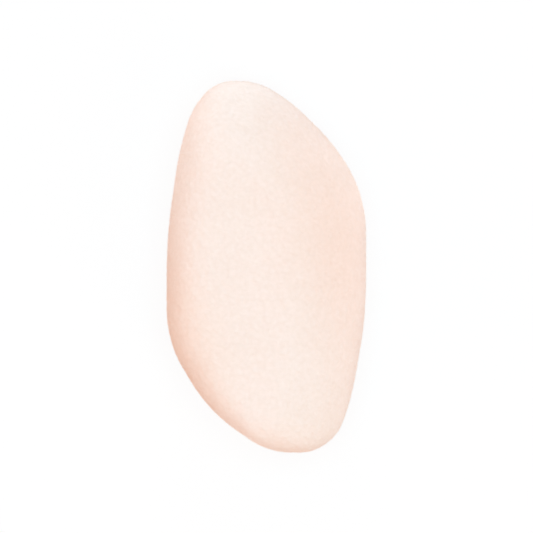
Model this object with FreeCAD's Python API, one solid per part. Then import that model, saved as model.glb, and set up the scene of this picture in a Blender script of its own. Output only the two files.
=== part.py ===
"""A flocked makeup sponge that lies on its flat back, with its crowned front up.

Lengths are in millimetres. X runs across the sponge, Y along it and Z up. The
origin is on the surface that the sponge lies on, under its middle.
"""

import FreeCAD, Part
import math
import os

# Size of the finished sponge, over its fibres
sponge_length = 65.0
sponge_width = 35.0
sponge_thickness = 24.0

# Where the form turns, measured on the finished sponge
widest_height = 10.5  # the widest line, above the surface below
resting_face_width = 18.0  # the flat of the back
crown_face_width = 12.0  # the flattest strip of the front
crown_offset_x = -3.5  # how far the middle of that strip lies from the sponge's middle
crown_offset_y = -3.5

# Layers, from the outside in
fibre_length = 0.6
adhesive_thickness = 0.15
layer_clearance = 0.1  # between one layer and the next

# Sections from the widest line to the flat of the front and of the back
front_section_count = 8
back_section_count = 5

# Corners of the slanted outline, anticlockwise from the right-hand side, as
# shares of half the width and half the length
outline_shares = [
    (1.00, 0.28),
    (0.89, 0.48),
    (0.64, 0.68),
    (0.23, 0.89),
    (-0.11, 1.00),
    (-0.51, 1.00),
    (-0.74, 0.86),
    (-0.87, 0.63),
    (-1.00, 0.17),
    (-1.00, -0.31),
    (-0.92, -0.47),
    (-0.67, -0.69),
    (-0.42, -0.83),
    (0.06, -1.00),
    (0.49, -1.00),
    (0.72, -0.91),
    (0.85, -0.71),
    (0.97, -0.36),
    (1.00, -0.14),
]

# How much of the shorter run beside a corner its arc takes up
corner_share = 0.46


def rounded_corner(corner, before, after):
    """Return the start, middle and end of the arc that rounds one corner of the outline."""
    to_before = before - corner
    to_after = after - corner
    tangent = corner_share * min(to_before.Length, to_after.Length)
    to_before.normalize()
    to_after.normalize()
    inwards = to_before + to_after
    inwards.normalize()
    half_angle = math.acos(inwards.dot(to_after))
    depth = tangent * (1 - math.sin(half_angle)) / math.cos(half_angle)
    return corner + to_before * tangent, corner + inwards * depth, corner + to_after * tangent


def outline_wire(middle, half_width, half_length):
    """Return the outline round a middle point, as straight runs joined by tangent arcs."""
    corners = [
        middle + FreeCAD.Vector(across * half_width, along * half_length, 0)
        for across, along in outline_shares
    ]
    count = len(corners)
    arcs = [
        rounded_corner(corners[index], corners[index - 1], corners[(index + 1) % count])
        for index in range(count)
    ]
    edges = []
    for index, (start, middle, end) in enumerate(arcs):
        next_start = arcs[(index + 1) % count][0]
        edges.append(Part.Arc(start, middle, end).toShape())
        edges.append(Part.LineSegment(end, next_start).toShape())
    return Part.Wire(edges)


def shoulder(reach, rise, count):
    """Return a quarter ellipse as steps: how far each is drawn in, and how far from the widest line."""
    turns = [math.pi / 2 * step / count for step in range(1, count + 1)]
    return [(reach * (1 - math.cos(turn)), rise * math.sin(turn)) for turn in turns]


def sponge_form(depth):
    """Return the sponge's form as one solid, its surface moved in by depth."""
    half_width = sponge_width / 2 - depth
    half_length = sponge_length / 2 - depth
    back_reach = half_width - resting_face_width / 2
    back_rise = widest_height - depth
    front_reach = half_width - crown_face_width / 2
    front_rise = sponge_thickness - widest_height - depth

    wires = []
    for inset, drop in reversed(shoulder(back_reach, back_rise, back_section_count)):
        middle = FreeCAD.Vector(0, 0, widest_height - drop)
        wires.append(outline_wire(middle, half_width - inset, half_length - inset))
    wires.append(outline_wire(FreeCAD.Vector(0, 0, widest_height), half_width, half_length))
    for inset, rise in shoulder(front_reach, front_rise, front_section_count):
        # the crown leans most just over the widest line, so one side is steep and the other sloping
        lean = 1 - (1 - inset / front_reach) ** 2
        middle = FreeCAD.Vector(crown_offset_x * lean, crown_offset_y * lean, widest_height + rise)
        wires.append(outline_wire(middle, half_width - inset, half_length - inset))
    return Part.makeLoft(wires, True)


def hollow_form(outer_depth, inner_depth):
    """Return the layer between two depths as one solid, closed all round."""
    outside = sponge_form(outer_depth).Shells[0]
    inside = sponge_form(inner_depth).Shells[0].reversed()
    return Part.makeSolid(Part.makeCompound([outside, inside]))


def above_widest_line():
    """Return a block that holds everything over the widest line."""
    corner = FreeCAD.Vector(-sponge_width, -sponge_length, widest_height)
    return Part.makeBox(2 * sponge_width, 2 * sponge_length, sponge_thickness, corner)


def flock():
    """Return the layer of fibres as the half over the front and the half over the back."""
    layer = hollow_form(0, fibre_length)
    upper_half = above_widest_line()
    return layer.common(upper_half), layer.cut(upper_half)


def adhesive_coat():
    """Return the film that holds the fibres' roots, closed all round the core."""
    outside = fibre_length + layer_clearance
    return hollow_form(outside, outside + adhesive_thickness)


def foam_core():
    """Return the foam block inside the film."""
    return sponge_form(fibre_length + adhesive_thickness + 2 * layer_clearance)


def main():
    """Write one STEP file for each piece."""
    front_flock, back_flock = flock()
    pieces = {
        "foam_core": foam_core(),
        "adhesive_coat": adhesive_coat(),
        "front_flock": front_flock,
        "back_flock": back_flock,
    }
    os.makedirs("parts", exist_ok=True)
    for name, shape in pieces.items():
        print(f"{name}: {len(shape.Solids)} solid of {shape.Volume:.1f} mm3, valid {shape.isValid()}")
        shape.exportStep(f"parts/{name}.step")


main()
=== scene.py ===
"""Dress a flocked makeup sponge, and light it as a plain studio picture from straight above.

Lengths are in metres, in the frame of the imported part: X across the sponge, Y along it, Z up.
Colours are linear.
"""

import logging
import math
from dataclasses import dataclass
from enum import Enum

import bpy
from mathutils import Euler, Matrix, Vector


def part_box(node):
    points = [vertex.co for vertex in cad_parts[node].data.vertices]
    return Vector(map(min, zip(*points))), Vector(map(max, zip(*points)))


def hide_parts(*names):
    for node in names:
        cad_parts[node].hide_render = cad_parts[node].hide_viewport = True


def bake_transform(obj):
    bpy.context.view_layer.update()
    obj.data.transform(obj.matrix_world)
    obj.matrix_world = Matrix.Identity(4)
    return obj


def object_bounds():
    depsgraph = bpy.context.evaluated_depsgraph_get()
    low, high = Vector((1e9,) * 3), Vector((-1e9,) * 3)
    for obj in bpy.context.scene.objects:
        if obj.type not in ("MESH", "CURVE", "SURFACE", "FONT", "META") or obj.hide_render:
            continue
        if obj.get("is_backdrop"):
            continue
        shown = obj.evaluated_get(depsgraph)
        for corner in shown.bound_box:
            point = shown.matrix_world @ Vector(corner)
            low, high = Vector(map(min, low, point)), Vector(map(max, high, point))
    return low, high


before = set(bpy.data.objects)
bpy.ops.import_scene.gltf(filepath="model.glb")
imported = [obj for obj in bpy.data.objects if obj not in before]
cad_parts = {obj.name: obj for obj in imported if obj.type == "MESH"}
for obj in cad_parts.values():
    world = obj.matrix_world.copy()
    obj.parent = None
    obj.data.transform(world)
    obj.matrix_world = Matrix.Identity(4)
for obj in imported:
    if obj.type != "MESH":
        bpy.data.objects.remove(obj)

LOG = logging.getLogger("makeup_sponge")
MM = 0.001
# The UV map that gives each fibre its own spot, by height and at random
BAKE_MAP = "OFBake"
# The mesh attribute with each point's place at rest, which the patterns follow when the sponge gives
REST_PLACE = "rest_place"

# The picture that the camera repeats: its side, and how long the sponge is in it
PICTURE_SIDE_PX = 533
SPONGE_LENGTH_PX = 372.7

# The range that most of a noise pattern keeps to
NOISE_LOW = 0.3
NOISE_HIGH = 0.7

Point = tuple[float, float, float]
Hue = tuple[float, float, float]
Colour = tuple[float, float, float, float]
Piece = bpy.types.Object
Tree = bpy.types.NodeTree
Nodes = bpy.types.Nodes
Links = bpy.types.NodeLinks
Socket = bpy.types.NodeSocket

WHITE: Colour = (1.0, 1.0, 1.0, 1.0)


class Half(Enum):
    """The coat's two halves, either side of the widest line, each with the seed of its random draws."""

    FRONT = 11
    BACK = 23


def select_only(piece: Piece) -> None:
    """Leave edit mode, with this piece alone selected and active.

    Args:
        piece: The object that the next operators act on.
    """
    if bpy.context.mode != "OBJECT":
        bpy.ops.object.mode_set(mode="OBJECT")
    bpy.ops.object.select_all(action="DESELECT")
    piece.select_set(True)
    bpy.context.view_layer.objects.active = piece


def apply_modifier(piece: Piece, kind: str, **settings: object) -> None:
    """Add one modifier to a piece, set it and apply it.

    Args:
        piece: The mesh object to change.
        kind: The modifier's type, as the operator names it.
        settings: The modifier's properties.
    """
    select_only(piece)
    bpy.ops.object.modifier_add(type=kind)
    modifier = piece.modifiers[-1]
    for name, value in settings.items():
        setattr(modifier, name, value)
    bpy.ops.object.modifier_apply(modifier=modifier.name)


def roughen(piece: Piece, pattern: str, spacing: float, height: float, middle: float = 0.5) -> None:
    """Move a surface in and out by a fine pattern.

    Args:
        piece: The mesh object to change.
        pattern: The kind of texture that moves it.
        spacing: The size of the pattern.
        height: How far apart its lowest and highest points are.
        middle: The share of the pattern that stays in place.
    """
    texture = bpy.data.textures.new(f"{piece.name} relief", pattern)
    texture.noise_scale = spacing
    apply_modifier(
        piece, "DISPLACE", texture=texture, texture_coords="LOCAL", strength=height, mid_level=middle
    )


def join(pieces: list[Piece]) -> Piece:
    """Join pieces into the first of them.

    Args:
        pieces: The mesh objects, the one that stays first.

    Returns:
        The joined object.
    """
    select_only(pieces[0])
    for piece in pieces[1:]:
        piece.select_set(True)
    bpy.ops.object.join()
    return pieces[0]


def keep_places(piece: Piece) -> None:
    """Store each point's place at rest, for the patterns to follow when the sponge gives.

    Args:
        piece: The finished mesh object.
    """
    mesh = piece.data
    places = [0.0] * (3 * len(mesh.vertices))
    mesh.vertices.foreach_get("co", places)
    mesh.attributes.new(REST_PLACE, "FLOAT_VECTOR", "POINT").data.foreach_set("vector", places)


def triangle_count(piece: Piece) -> int:
    """Return how many triangles a piece's mesh has."""
    return sum(len(face.vertices) - 2 for face in piece.data.polygons)


@dataclass
class SpongeForm:
    """The sponge's form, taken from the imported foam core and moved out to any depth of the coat."""

    core_node: str = "foam_core"
    smoothing_passes: int = 6
    smoothing_share: float = 0.5
    merge_distance: float = 0.002 * MM

    def __post_init__(self) -> None:
        """Read the sponge's box, its widest line and the depth of its core from the frame."""
        self.lowest, self.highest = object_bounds()
        self.widest_height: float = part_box("back_flock")[1].z
        self.core_depth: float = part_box(self.core_node)[0].z - self.lowest.z

    def skin(self, name: str, depth: float, mesh_size: float) -> Piece:
        """Make an even, closed skin at one depth below the finished surface.

        Args:
            name: The new object's name.
            depth: How far below the finished surface the skin lies.
            mesh_size: The side of its quads.

        Returns:
            The skin, with its faces outwards.
        """
        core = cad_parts[self.core_node]
        skin = bpy.data.objects.new(name, core.data.copy())
        bpy.context.scene.collection.objects.link(skin)
        skin.data.materials.clear()
        select_only(skin)
        bpy.ops.object.mode_set(mode="EDIT")
        bpy.ops.mesh.select_all(action="SELECT")
        bpy.ops.mesh.remove_doubles(threshold=self.merge_distance)
        bpy.ops.mesh.normals_make_consistent(inside=False)
        bpy.ops.object.mode_set(mode="OBJECT")
        apply_modifier(skin, "REMESH", mode="VOXEL", voxel_size=mesh_size)
        self.smooth(skin)
        apply_modifier(
            skin,
            "SHRINKWRAP",
            target=core,
            wrap_method="NEAREST_SURFACEPOINT",
            wrap_mode="OUTSIDE_SURFACE",
            offset=self.core_depth - depth,
        )
        self.smooth(skin)
        select_only(skin)
        bpy.ops.object.shade_smooth()
        return skin

    def smooth(self, skin: Piece) -> None:
        """Even out a skin's mesh."""
        apply_modifier(skin, "SMOOTH", factor=self.smoothing_share, iterations=self.smoothing_passes)

    def inner_wall(self, name: str, depth: float, mesh_size: float) -> Piece:
        """Make a skin that faces inwards, as the inside of a layer.

        Args:
            name: The new object's name.
            depth: How far below the finished surface it lies.
            mesh_size: The side of its quads.

        Returns:
            The wall, with its faces towards the core.
        """
        wall = self.skin(name, depth, mesh_size)
        bpy.ops.object.mode_set(mode="EDIT")
        bpy.ops.mesh.select_all(action="SELECT")
        bpy.ops.mesh.flip_normals()
        bpy.ops.object.mode_set(mode="OBJECT")
        return wall

    def squeeze(self, piece: Piece) -> None:
        """Store a finished piece's places at rest, and bake its transform into its mesh.

        Args:
            piece: The finished mesh object.
        """
        keep_places(piece)
        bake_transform(piece)


def colour_mix(nodes: Nodes, blend: str = "MIX") -> dict[str, Socket]:
    """Add a node that mixes two colours.

    Args:
        nodes: The tree's nodes.
        blend: How the second colour goes over the first.

    Returns:
        The node's sockets by their identifiers.
    """
    mix = nodes.new("ShaderNodeMix")
    mix.data_type = "RGBA"
    mix.blend_type = blend
    return {socket.identifier: socket for socket in (*mix.inputs, *mix.outputs)}


def mottle_group() -> Tree:
    """Build the node group that mottles a soft surface, for every material that shares it.

    Returns:
        The group: two colours mixed by broad and fine unevenness, and the fine part as a height.
    """
    group = bpy.data.node_groups.new("soft mottle", "ShaderNodeTree")
    for label, kind in (
        ("Place", "NodeSocketVector"),
        ("Pale", "NodeSocketColor"),
        ("Deep", "NodeSocketColor"),
        ("Broad Scale", "NodeSocketFloat"),
        ("Broad Amount", "NodeSocketFloat"),
        ("Fine Scale", "NodeSocketFloat"),
        ("Fine Amount", "NodeSocketFloat"),
    ):
        group.interface.new_socket(label, in_out="INPUT", socket_type=kind)
    group.interface.new_socket("Colour", in_out="OUTPUT", socket_type="NodeSocketColor")
    group.interface.new_socket("Height", in_out="OUTPUT", socket_type="NodeSocketFloat")

    nodes, links = group.nodes, group.links
    given = nodes.new("NodeGroupInput")
    result = nodes.new("NodeGroupOutput")
    total = nodes.new("ShaderNodeMath")
    total.operation = "ADD"
    total.use_clamp = True
    for index, label in enumerate(("Broad", "Fine")):
        noise = nodes.new("ShaderNodeTexNoise")
        links.new(given.outputs["Place"], noise.inputs["Vector"])
        links.new(given.outputs[f"{label} Scale"], noise.inputs["Scale"])
        spread = nodes.new("ShaderNodeMapRange")
        spread.inputs["From Min"].default_value = NOISE_LOW
        spread.inputs["From Max"].default_value = NOISE_HIGH
        links.new(noise.outputs["Fac"], spread.inputs["Value"])
        amount = nodes.new("ShaderNodeMath")
        amount.operation = "MULTIPLY"
        links.new(spread.outputs["Result"], amount.inputs[0])
        links.new(given.outputs[f"{label} Amount"], amount.inputs[1])
        links.new(amount.outputs["Value"], total.inputs[index])
        if label == "Fine":
            links.new(spread.outputs["Result"], result.inputs["Height"])
    mix = colour_mix(nodes)
    links.new(total.outputs["Value"], mix["Factor_Float"])
    links.new(given.outputs["Pale"], mix["A_Color"])
    links.new(given.outputs["Deep"], mix["B_Color"])
    links.new(mix["Result_Color"], result.inputs["Colour"])
    return group


@dataclass(frozen=True)
class SoftFinish:
    """A mottled finish for the sponge's soft layers."""

    name: str
    pale: Colour
    deep: Colour
    broad_scale: float
    broad_amount: float
    fine_scale: float
    fine_amount: float
    bump_depth: float
    roughness: float
    sheen: float = 0.0
    sheen_roughness: float = 0.5
    sheen_tint: Colour = WHITE
    specular: float = 0.2
    bump_strength: float = 0.5

    def material(self, mottle: Tree) -> bpy.types.Material:
        """Build the material.

        Args:
            mottle: The shared node group that makes the colour uneven.

        Returns:
            The new material.
        """
        material = bpy.data.materials.new(self.name)
        material.use_nodes = True
        nodes, links = material.node_tree.nodes, material.node_tree.links
        shader = nodes["Principled BSDF"]
        shader.inputs["Roughness"].default_value = self.roughness
        shader.inputs["Specular IOR Level"].default_value = self.specular
        shader.inputs["Sheen Weight"].default_value = self.sheen
        shader.inputs["Sheen Roughness"].default_value = self.sheen_roughness
        shader.inputs["Sheen Tint"].default_value = self.sheen_tint
        stored = nodes.new("ShaderNodeAttribute")
        stored.attribute_name = REST_PLACE
        place = stored.outputs["Vector"]
        uneven = nodes.new("ShaderNodeGroup")
        uneven.node_tree = mottle
        for label, value in (
            ("Pale", self.pale),
            ("Deep", self.deep),
            ("Broad Scale", self.broad_scale),
            ("Broad Amount", self.broad_amount),
            ("Fine Scale", self.fine_scale),
            ("Fine Amount", self.fine_amount),
        ):
            uneven.inputs[label].default_value = value
        links.new(place, uneven.inputs["Place"])
        colour = self.shade(nodes, links, place, uneven.outputs["Colour"])
        links.new(colour, shader.inputs["Base Color"])
        bump = nodes.new("ShaderNodeBump")
        bump.inputs["Strength"].default_value = self.bump_strength
        bump.inputs["Distance"].default_value = self.bump_depth
        links.new(uneven.outputs["Height"], bump.inputs["Height"])
        links.new(bump.outputs["Normal"], shader.inputs["Normal"])
        return material

    def shade(self, nodes: Nodes, links: Links, place: Socket, colour: Socket) -> Socket:
        """Return the colour as it is, for a finish that is alike all over."""
        return colour


@dataclass(frozen=True)
class PaintedShade:
    """A soft place on the flock where shade is painted into its colour, which is made deeper there."""

    place: Point
    reach: Point
    turn: float
    tint: Colour

    def lay(self, nodes: Nodes, links: Links, point: Socket, colour: Socket) -> Socket:
        """Add nodes that paint shade around this place, by deepening the colour.

        Args:
            nodes: The material's nodes.
            links: The material's links.
            point: The socket with the point on the sponge.
            colour: The socket with the colour so far.

        Returns:
            The socket with the colour and its painted shade.
        """
        around = nodes.new("ShaderNodeMapping")
        around.vector_type = "TEXTURE"
        around.inputs["Location"].default_value = self.place
        around.inputs["Rotation"].default_value = (0, 0, self.turn)
        around.inputs["Scale"].default_value = self.reach
        links.new(point, around.inputs["Vector"])
        away = nodes.new("ShaderNodeVectorMath")
        away.operation = "LENGTH"
        links.new(around.outputs["Vector"], away.inputs[0])
        # All at the middle, and none at the full reach
        share = nodes.new("ShaderNodeMapRange")
        share.interpolation_type = "SMOOTHSTEP"
        share.inputs["To Min"].default_value = 1.0
        share.inputs["To Max"].default_value = 0.0
        links.new(away.outputs["Value"], share.inputs["Value"])
        mix = colour_mix(nodes, "MULTIPLY")
        mix["B_Color"].default_value = self.tint
        links.new(share.outputs["Result"], mix["Factor_Float"])
        links.new(colour, mix["A_Color"])
        return mix["Result_Color"]


@dataclass(frozen=True)
class FlockFinish(SoftFinish):
    """Flock with a few soft places of painted shade, where its colour is made deeper."""

    # The places of painted shade, where the colour is made deeper
    painted_shades: tuple[PaintedShade, ...] = ()

    def shade(self, nodes: Nodes, links: Links, place: Socket, colour: Socket) -> Socket:
        """Paint shade at each of the soft places, by deepening the colour.

        Args:
            nodes: The material's nodes.
            links: The material's links.
            place: The socket with the point's place on the sponge.
            colour: The socket with the mottled colour.

        Returns:
            The socket with the colour and its painted shade.
        """
        for shade_patch in self.painted_shades:
            colour = shade_patch.lay(nodes, links, place, colour)
        return colour


FLOCK = FlockFinish(
    name="peach flock",
    pale=(0.99, 0.86, 0.79, 1.0),
    deep=(0.93, 0.79, 0.70, 1.0),
    broad_scale=90.0,
    broad_amount=0.2,
    fine_scale=1300.0,
    fine_amount=0.55,
    bump_depth=0.1 * MM,
    roughness=0.95,
    sheen=0.6,
    sheen_tint=(1.0, 0.75, 0.62, 1.0),
    painted_shades=(
        # Painted shade on the lower left flank
        PaintedShade(
            place=(-13.5 * MM, -18.0 * MM, 12.0 * MM),
            reach=(13.0 * MM, 40.0 * MM, 22.0 * MM),
            turn=math.radians(12),
            tint=(1.0, 0.90, 0.83, 1.0),
        ),
        # Painted shade on the right shoulder, where the front slopes away
        PaintedShade(
            place=(11.0 * MM, 6.5 * MM, 20.0 * MM),
            reach=(16.0 * MM, 38.0 * MM, 14.0 * MM),
            turn=math.radians(13),
            tint=(1.0, 0.925, 0.89, 1.0),
        ),
    ),
)
FILM = SoftFinish(
    name="peach adhesive film",
    pale=(0.88, 0.72, 0.62, 1.0),
    deep=(0.80, 0.60, 0.49, 1.0),
    broad_scale=140.0,
    broad_amount=0.4,
    fine_scale=2500.0,
    fine_amount=0.4,
    bump_depth=0.03 * MM,
    roughness=0.4,
    specular=0.5,
)
FOAM = SoftFinish(
    name="peach foam",
    pale=(0.92, 0.74, 0.63, 1.0),
    deep=(0.78, 0.55, 0.43, 1.0),
    broad_scale=60.0,
    broad_amount=0.3,
    fine_scale=900.0,
    fine_amount=0.5,
    bump_depth=0.15 * MM,
    roughness=0.9,
    sheen=0.1,
)


def hang(light: bpy.types.Light, place: Point, turn: Euler) -> None:
    """Put a light in its place, out of the camera's sight.

    Args:
        light: The light to hang.
        place: Where its middle is.
        turn: How it is turned, from facing straight down.
    """
    holder = bpy.data.objects.new(light.name, light)
    holder.location = place
    holder.rotation_euler = turn
    holder.visible_camera = False
    bpy.context.scene.collection.objects.link(holder)


@dataclass(frozen=True)
class Lamp:
    """A square soft light that points at the sponge."""

    name: str
    place: Point
    side: float
    level: float
    hue: Hue

    def build(self, target: Vector) -> None:
        """Add the lamp.

        Args:
            target: The point that it is turned to.
        """
        away = Vector(self.place) - target
        light = bpy.data.lights.new(self.name, "AREA")
        light.size = self.side
        light.color = self.hue
        # At a level of 1 a white surface that faces the lamp renders white
        light.energy = self.level * math.pi**2 * away.length_squared
        hang(light, self.place, away.to_track_quat("Z", "Y").to_euler())


@dataclass(frozen=True)
class Card:
    """A glowing card that lies on the floor beside the sponge and lights its flank."""

    name: str
    place: tuple[float, float]
    size: tuple[float, float]
    level: float
    hue: Hue
    lift: float = 0.5 * MM

    def build(self, floor_height: float) -> None:
        """Add the card.

        Args:
            floor_height: The height of the floor that it lies on.
        """
        light = bpy.data.lights.new(self.name, "AREA")
        light.shape = "RECTANGLE"
        light.size, light.size_y = self.size
        light.color = self.hue
        # At a level of 1 the card itself is as bright as white
        light.energy = self.level * math.pi * light.size * light.size_y
        hang(light, (*self.place, floor_height + self.lift), Euler((math.pi, 0, 0)))


# The sky and the warm lamps shade the flanks, and the cool top lamp brings the front back to neutral
LAMPS = (
    Lamp("top softbox", place=(0, 0, 0.8), side=0.5, level=0.64, hue=(0.38, 0.8, 1.0)),
    Lamp("back softbox", place=(0, 0.7, 0.16), side=0.2, level=0.3, hue=(0.65, 0.88, 1.0)),
    Lamp("front softbox", place=(0.4, -0.35, 0.41), side=0.35, level=0.12, hue=(1.0, 0.86, 0.72)),
    Lamp("right softbox", place=(0.49, -0.49, 0.11), side=0.12, level=0.18, hue=(0.7, 0.94, 1.0)),
    Lamp("left softbox", place=(-0.55, 0.25, 0.2), side=0.3, level=0.08, hue=(1.0, 0.98, 0.9)),
    Lamp("warm softbox", place=(-0.5, -0.27, 0.2), side=0.3, level=0.14, hue=(1.0, 0.45, 0.25)),
)
CARDS = (
    Card("back card", place=(0, 75 * MM), size=(110 * MM, 65 * MM), level=1.35, hue=(0.46, 0.78, 1.0)),
    Card("right card", place=(62 * MM, 5 * MM), size=(62 * MM, 95 * MM), level=0.72, hue=(0.72, 0.8, 1.0)),
)


@dataclass
class Studio:
    """A white floor, soft lamps and a camera that looks straight down on the front."""

    form: SpongeForm
    camera_distance: float = 1.0
    camera_reach: float = 10.0
    floor_side: float = 1.2
    floor_tone: float = 0.6
    shadow_share: float = 0.12
    sky_level: float = 0.63
    sky_colour: Colour = (1.0, 0.66, 0.52, 1.0)
    lamps: tuple[Lamp, ...] = LAMPS
    cards: tuple[Card, ...] = CARDS

    def camera(self) -> None:
        """Add the camera, with the sponge as long in its frame as in the picture."""
        length = self.form.highest.y - self.form.lowest.y
        frame_width = length * PICTURE_SIDE_PX / SPONGE_LENGTH_PX
        lens = bpy.data.cameras.new("front camera")
        lens.lens = lens.sensor_width * self.camera_distance / frame_width
        lens.clip_end = self.camera_reach
        camera = bpy.data.objects.new("front camera", lens)
        camera.location = (0, 0, self.form.widest_height + self.camera_distance)
        bpy.context.scene.collection.objects.link(camera)
        bpy.context.scene.camera = camera

    def seen_share(self, nodes: Nodes, links: Links) -> Socket:
        """Add nodes that give 1 to rays from the camera, from gloss and through glass, and 0 to others.

        Args:
            nodes: The tree's nodes.
            links: The tree's links.

        Returns:
            The socket that holds the share.
        """
        path = nodes.new("ShaderNodeLightPath")
        share = path.outputs["Is Camera Ray"]
        for ray in ("Is Glossy Ray", "Is Transmission Ray"):
            either = nodes.new("ShaderNodeMath")
            either.operation = "MAXIMUM"
            links.new(share, either.inputs[0])
            links.new(path.outputs[ray], either.inputs[1])
            share = either.outputs["Value"]
        return share

    def floor_material(self) -> bpy.types.Material:
        """Build the floor's material, white to the camera but for the sponge's own soft shadow.

        Returns:
            The new material.
        """
        material = bpy.data.materials.new("white floor")
        material.use_nodes = True
        nodes, links = material.node_tree.nodes, material.node_tree.links
        nodes.clear()
        seen = self.seen_share(nodes, links)
        tone = nodes.new("ShaderNodeMapRange")
        tone.inputs["To Min"].default_value = self.floor_tone
        links.new(seen, tone.inputs["Value"])
        matte = nodes.new("ShaderNodeBsdfDiffuse")
        links.new(tone.outputs["Result"], matte.inputs["Color"])
        white = nodes.new("ShaderNodeEmission")
        share = nodes.new("ShaderNodeMath")
        share.operation = "MULTIPLY"
        share.inputs[1].default_value = 1 - self.shadow_share
        links.new(seen, share.inputs[0])
        mix = nodes.new("ShaderNodeMixShader")
        links.new(share.outputs["Value"], mix.inputs["Fac"])
        links.new(matte.outputs["BSDF"], mix.inputs[1])
        links.new(white.outputs["Emission"], mix.inputs[2])
        output = nodes.new("ShaderNodeOutputMaterial")
        links.new(mix.outputs["Shader"], output.inputs["Surface"])
        return material

    def floor(self) -> None:
        """Add the floor that the sponge lies on."""
        bpy.ops.object.select_all(action="DESELECT")
        bpy.ops.mesh.primitive_plane_add(size=self.floor_side, location=(0, 0, self.form.lowest.z))
        floor = bpy.context.object
        floor.name = "floor"
        floor.data.materials.append(self.floor_material())
        floor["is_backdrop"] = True

    def sky(self) -> None:
        """Light the sponge evenly from all round, in front of a white background."""
        world = bpy.data.worlds.new("studio")
        world.use_nodes = True
        nodes, links = world.node_tree.nodes, world.node_tree.links
        seen = self.seen_share(nodes, links)
        background = nodes["Background"]
        tint = colour_mix(nodes)
        tint["A_Color"].default_value = self.sky_colour
        tint["B_Color"].default_value = WHITE
        links.new(seen, tint["Factor_Float"])
        links.new(tint["Result_Color"], background.inputs["Color"])
        strength = nodes.new("ShaderNodeMapRange")
        strength.inputs["To Min"].default_value = self.sky_level
        links.new(seen, strength.inputs["Value"])
        links.new(strength.outputs["Result"], background.inputs["Strength"])
        bpy.context.scene.world = world

    def build(self) -> None:
        """Set up the whole studio."""
        self.camera()
        self.floor()
        self.sky()
        middle = (self.form.lowest + self.form.highest) / 2
        for lamp in self.lamps:
            lamp.build(middle)
            LOG.info("lamp: %s", lamp.name)
        for card in self.cards:
            card.build(self.form.lowest.z)
            LOG.info("card: %s", card.name)
        bpy.context.scene.view_settings.view_transform = "Standard"


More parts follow.
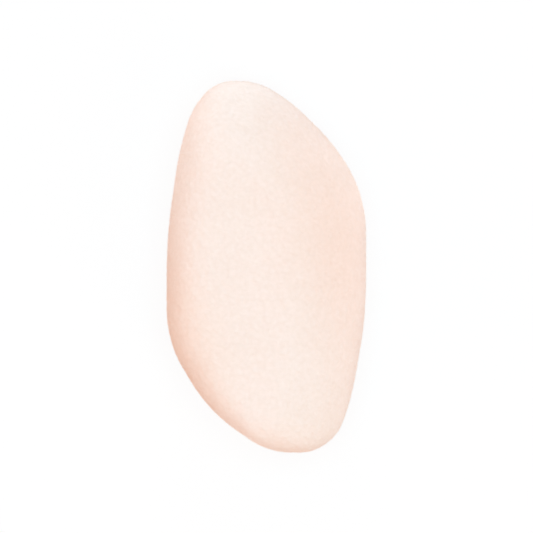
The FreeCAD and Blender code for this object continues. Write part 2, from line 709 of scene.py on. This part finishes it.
@dataclass
class FlockCoat:
    """The coat: a dense bed of fibres all round, and the longer fibres that stand out of it."""

    form: SpongeForm
    bed_depth: float = 0.22 * MM
    root_depth: float = 0.6 * MM
    mesh_size: float = 0.32 * MM
    wall_mesh_size: float = 1.0 * MM
    nap_spacing: float = 0.7 * MM
    nap_height: float = 0.32 * MM
    fibre_width: float = 0.07 * MM
    fibre_length: float = 0.34 * MM
    fibre_root: float = 0.08 * MM
    fibre_sides: int = 3
    fibres_per_mm2: float = 15.5
    lean_share: float = 0.35
    shortest_share: float = 0.7
    swatch: float = 0.006
    map_margin: float = 0.02

    def bed(self) -> Piece:
        """Model the dense part of the coat, with a slightly uneven nap.

        Returns:
            The bed, as one closed layer.
        """
        bed = self.form.skin("flock_bed", self.bed_depth, self.mesh_size)
        roughen(bed, "CLOUDS", self.nap_spacing, self.nap_height)
        return bed

    def fibre(self) -> Piece:
        """Model one fibre, upright and tapered, with its root a little below the origin.

        Returns:
            The fibre, to be sown over the bed and then removed.
        """
        bpy.ops.object.select_all(action="DESELECT")
        bpy.ops.mesh.primitive_cone_add(
            vertices=self.fibre_sides,
            radius1=self.fibre_width / 2,
            depth=self.fibre_length,
            location=(0, 0, self.fibre_length / 2 - self.fibre_root),
        )
        bpy.ops.object.transform_apply(location=True, rotation=True, scale=True)
        fibre = bpy.context.object
        fibre.name = "fibre"
        self.lay_out(fibre.data)
        return fibre

    def lay_out(self, mesh: bpy.types.Mesh) -> None:
        """Lay a fibre's faces out on a swatch of the map, slanted so that all its sides have some room.

        Args:
            mesh: The fibre's mesh.
        """
        layer = mesh.uv_layers.active
        layer.name = BAKE_MAP
        for corner, spot in zip(mesh.loops, layer.uv):
            place = mesh.vertices[corner.vertex_index].co
            along = place.z / self.fibre_length
            across = place.x / self.fibre_width
            aside = place.y / self.fibre_width
            spot.vector = (self.swatch * (across + aside / 2), self.swatch * (along + aside / 2))

    def swatch_map(self, tree: Tree, points: Socket, seed: int) -> Socket:
        """Add nodes that give each point its own spot on the fibres' map, by height and at random.

        Args:
            tree: The geometry node tree.
            points: The socket with the points that the fibres stand on.
            seed: Starts the random draws.

        Returns:
            The socket with the points and their spots.
        """
        nodes, links = tree.nodes, tree.links
        parts = nodes.new("ShaderNodeSeparateXYZ")
        links.new(nodes.new("GeometryNodeInputPosition").outputs["Position"], parts.inputs["Vector"])
        height = nodes.new("ShaderNodeMapRange")
        height.inputs["From Min"].default_value = self.form.lowest.z
        height.inputs["From Max"].default_value = self.form.highest.z
        height.inputs["To Min"].default_value = self.map_margin
        height.inputs["To Max"].default_value = 1 - self.map_margin
        links.new(parts.outputs["Z"], height.inputs["Value"])
        chance = nodes.new("FunctionNodeRandomValue")
        chance.inputs[2].default_value = self.map_margin
        chance.inputs[3].default_value = 1 - self.map_margin
        chance.inputs["Seed"].default_value = seed
        spot = nodes.new("ShaderNodeCombineXYZ")
        links.new(height.outputs["Result"], spot.inputs["X"])
        links.new(chance.outputs[1], spot.inputs["Y"])
        store = nodes.new("GeometryNodeStoreNamedAttribute")
        store.data_type = "FLOAT_VECTOR"
        store.inputs["Name"].default_value = "spot"
        links.new(points, store.inputs["Geometry"])
        links.new(spot.outputs["Vector"], store.inputs["Value"])
        return store.outputs["Geometry"]

    def spread_map(self, tree: Tree, sown: Socket) -> Socket:
        """Add nodes that move each fibre's piece of the map to its spot.

        Args:
            tree: The geometry node tree.
            sown: The socket with all the fibres as one mesh.

        Returns:
            The socket with the mapped fibres.
        """
        nodes, links = tree.nodes, tree.links
        total = nodes.new("ShaderNodeVectorMath")
        for index, name in enumerate((BAKE_MAP, "spot")):
            stored = nodes.new("GeometryNodeInputNamedAttribute")
            stored.data_type = "FLOAT_VECTOR"
            stored.inputs["Name"].default_value = name
            links.new(stored.outputs["Attribute"], total.inputs[index])
        store = nodes.new("GeometryNodeStoreNamedAttribute")
        store.data_type = "FLOAT2"
        store.domain = "CORNER"
        store.inputs["Name"].default_value = BAKE_MAP
        links.new(sown, store.inputs["Geometry"])
        links.new(total.outputs["Vector"], store.inputs["Value"])
        clean = nodes.new("GeometryNodeRemoveAttribute")
        clean.inputs["Name"].default_value = "spot"
        links.new(store.outputs["Geometry"], clean.inputs["Geometry"])
        return clean.outputs["Geometry"]

    def sowing(self, fibre: Piece, seed: int) -> Tree:
        """Build the node tree that sets fibres upright on a surface, each leaning a little its own way.

        Args:
            fibre: The fibre that is repeated.
            seed: Starts the random draws.

        Returns:
            The geometry node tree.
        """
        tree = bpy.data.node_groups.new(f"sow fibres {seed}", "GeometryNodeTree")
        tree.interface.new_socket("Geometry", in_out="INPUT", socket_type="NodeSocketGeometry")
        tree.interface.new_socket("Geometry", in_out="OUTPUT", socket_type="NodeSocketGeometry")
        nodes, links = tree.nodes, tree.links
        given = nodes.new("NodeGroupInput")
        sow = nodes.new("GeometryNodeDistributePointsOnFaces")
        sow.inputs["Density"].default_value = self.fibres_per_mm2 / MM**2
        sow.inputs["Seed"].default_value = seed
        links.new(given.outputs["Geometry"], sow.inputs["Mesh"])

        lean = nodes.new("FunctionNodeRandomValue")
        lean.data_type = "FLOAT_VECTOR"
        lean.inputs["Min"].default_value = [-self.lean_share] * 3
        lean.inputs["Max"].default_value = [self.lean_share] * 3
        lean.inputs["Seed"].default_value = seed + 1
        upright = nodes.new("ShaderNodeVectorMath")
        links.new(sow.outputs["Normal"], upright.inputs[0])
        links.new(lean.outputs["Value"], upright.inputs[1])
        turn = nodes.new("FunctionNodeAlignRotationToVector")
        turn.axis = "Z"
        links.new(upright.outputs["Vector"], turn.inputs["Vector"])

        length = nodes.new("FunctionNodeRandomValue")
        length.inputs[2].default_value = self.shortest_share
        length.inputs[3].default_value = 1.0
        length.inputs["Seed"].default_value = seed + 2
        source = nodes.new("GeometryNodeObjectInfo")
        source.inputs["Object"].default_value = fibre
        copies = nodes.new("GeometryNodeInstanceOnPoints")
        links.new(self.swatch_map(tree, sow.outputs["Points"], seed + 3), copies.inputs["Points"])
        links.new(source.outputs["Geometry"], copies.inputs["Instance"])
        links.new(turn.outputs["Rotation"], copies.inputs["Rotation"])
        links.new(length.outputs[1], copies.inputs["Scale"])
        real = nodes.new("GeometryNodeRealizeInstances")
        links.new(copies.outputs["Instances"], real.inputs["Geometry"])
        result = nodes.new("NodeGroupOutput")
        links.new(self.spread_map(tree, real.outputs["Geometry"]), result.inputs["Geometry"])
        return tree

    def fibres(self, half: Half, bed: Piece, fibre: Piece) -> Piece:
        """Sow the fibres over one half of the bed.

        Args:
            half: The half over the front or over the back.
            bed: The surface that the fibres stand on.
            fibre: The fibre that is repeated.

        Returns:
            All the fibres of that half as one mesh.
        """
        sown = bpy.data.objects.new(f"{half.name.lower()}_fibres", bed.data.copy())
        bpy.context.scene.collection.objects.link(sown)
        select_only(sown)
        bpy.ops.object.mode_set(mode="EDIT")
        bpy.ops.mesh.select_all(action="SELECT")
        bpy.ops.mesh.bisect(
            plane_co=(0, 0, self.form.widest_height),
            plane_no=(0, 0, 1),
            clear_inner=half is Half.FRONT,
            clear_outer=half is Half.BACK,
        )
        bpy.ops.object.mode_set(mode="OBJECT")
        apply_modifier(sown, "NODES", node_group=self.sowing(fibre, half.value))
        return sown

    def build(self, mottle: Tree) -> list[Piece]:
        """Model and dress the coat.

        Args:
            mottle: The shared node group for uneven colour.

        Returns:
            The bed and the two halves' fibres.
        """
        bed = self.bed()
        fibre = self.fibre()
        fibres = [self.fibres(half, bed, fibre) for half in Half]
        bpy.data.objects.remove(fibre)
        wall = self.form.inner_wall("flock_roots", self.root_depth, self.wall_mesh_size)
        pieces = [join([bed, wall]), *fibres]
        material = FLOCK.material(mottle)
        for piece in pieces:
            piece.data.materials.clear()
            piece.data.materials.append(material)
            self.form.squeeze(piece)
        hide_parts("front_flock", "back_flock")
        return pieces


@dataclass
class AdhesiveFilm:
    """The thin film that holds the fibres' roots, stippled by them on its outside."""

    form: SpongeForm
    outer_depth: float = 0.70 * MM
    inner_depth: float = 0.85 * MM
    mesh_size: float = 0.6 * MM
    stipple_spacing: float = 1.2 * MM
    stipple_height: float = 0.04 * MM

    def build(self, mottle: Tree) -> list[Piece]:
        """Model and dress the film.

        Args:
            mottle: The shared node group for uneven colour.

        Returns:
            The film, as one closed layer.
        """
        film = self.form.skin("adhesive_film", self.outer_depth, self.mesh_size)
        roughen(film, "CLOUDS", self.stipple_spacing, self.stipple_height, middle=1.0)
        wall = self.form.inner_wall("film_inside", self.inner_depth, self.mesh_size)
        film = join([film, wall])
        film.data.materials.append(FILM.material(mottle))
        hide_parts("adhesive_coat")
        self.form.squeeze(film)
        return [film]


@dataclass
class FoamBlock:
    """The block of open-celled foam, with its cut cells as small pits all over."""

    form: SpongeForm
    mesh_size: float = 0.4 * MM
    cell_spacing: float = 1.3 * MM
    cell_depth: float = 0.5 * MM

    def build(self, mottle: Tree) -> list[Piece]:
        """Model and dress the foam.

        Args:
            mottle: The shared node group for uneven colour.

        Returns:
            The block.
        """
        foam = self.form.skin("foam_block", self.form.core_depth, self.mesh_size)
        roughen(foam, "VORONOI", self.cell_spacing, self.cell_depth, middle=1.0)
        foam.data.materials.append(FOAM.material(mottle))
        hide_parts("foam_core")
        self.form.squeeze(foam)
        return [foam]


def main() -> None:
    """Build the studio and the sponge."""
    logging.basicConfig(level=logging.INFO, format="%(name)s: %(message)s")
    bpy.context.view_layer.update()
    form = SpongeForm()
    Studio(form).build()
    mottle = mottle_group()
    for layer in (FoamBlock(form), AdhesiveFilm(form), FlockCoat(form)):
        for piece in layer.build(mottle):
            LOG.info("%s: %d triangles", piece.name, triangle_count(piece))


if __name__ == "__main__":
    main()
